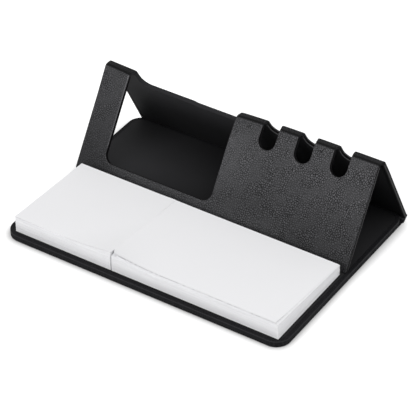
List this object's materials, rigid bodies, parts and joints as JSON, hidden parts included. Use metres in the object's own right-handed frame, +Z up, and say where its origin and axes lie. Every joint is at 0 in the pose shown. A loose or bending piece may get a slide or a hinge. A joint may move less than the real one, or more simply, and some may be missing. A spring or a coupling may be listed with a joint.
{
  "type": "folding memo organizer",
  "caption": "Folding desk memo organizer: flat leather-wrapped base with white note pads and a tent cover with a phone window and pen slots.",
  "frame": {"origin": "centre of the footprint, on the surface the base rests on", "axes": "+X along the length, from the small pad to the large one; +Y from the pads to the rear hinge; +Z up"},
  "size_m": [0.2144, 0.1592, 0.0687],
  "materials": {
    "black_leather": "fine pebble grain, satin",
    "lining": "smooth, matte",
    "board": "black-dyed grey board",
    "note_paper": "matte white paper",
    "backing_card": "matte card",
    "tape": "double-sided tape",
    "magnet": "nickel-plated",
    "steel": "plain"
  },
  "bodies": {
    "base": {"base_skin": "black_leather", "base_board": "board", "base_lining": "lining", "keeper_discs": "steel", "hinge_leather": "black_leather", "small_pad_tape": "tape", "small_pad_backing": "backing_card", "small_pad_sheets": "note_paper", "large_pad_tape": "tape", "large_pad_backing": "backing_card", "large_pad_sheets": "note_paper"},
    "rear_panel": {"rear_skin": "black_leather", "rear_board": "board", "rear_lining": "lining", "ridge_leather": "black_leather"},
    "front_panel": {"front_skin": "black_leather", "front_board": "board", "front_lining": "lining", "foot_magnets": "magnet"},
    "small_sheet": {"small_pad_top_sheet": "note_paper"},
    "large_sheet": {"large_pad_top_sheet": "note_paper"}
  },
  "joints": [
    {"name": "cover_tip", "type": "hinge", "parent": "base", "child": "rear_panel", "pos_m": [0, 0.07915, 0.00134], "axis": [-1, 0, 0], "range_deg": [0, 117], "deforming": ["hinge_leather"]},
    {"name": "ridge_open", "type": "hinge", "parent": "rear_panel", "child": "front_panel", "pos_m": [0, 0.04349, 0.07034], "axis": [-1, 0, 0], "range_deg": [0, 120.82], "deforming": ["ridge_leather"]},
    {"name": "small_sheet_lift", "type": "hinge", "parent": "base", "child": "small_sheet", "pos_m": [-0.06295, -0.01611, 0.01383], "axis": [-1, 0, 0], "range_deg": [0, 105]},
    {"name": "large_sheet_lift", "type": "hinge", "parent": "base", "child": "large_sheet", "pos_m": [0.03975, -0.01611, 0.01383], "axis": [-1, 0, 0], "range_deg": [0, 105]}
  ],
  "couplings": [
    {"joint": "ridge_open", "follows": "cover_tip", "ratio": 1.0322}
  ]
}
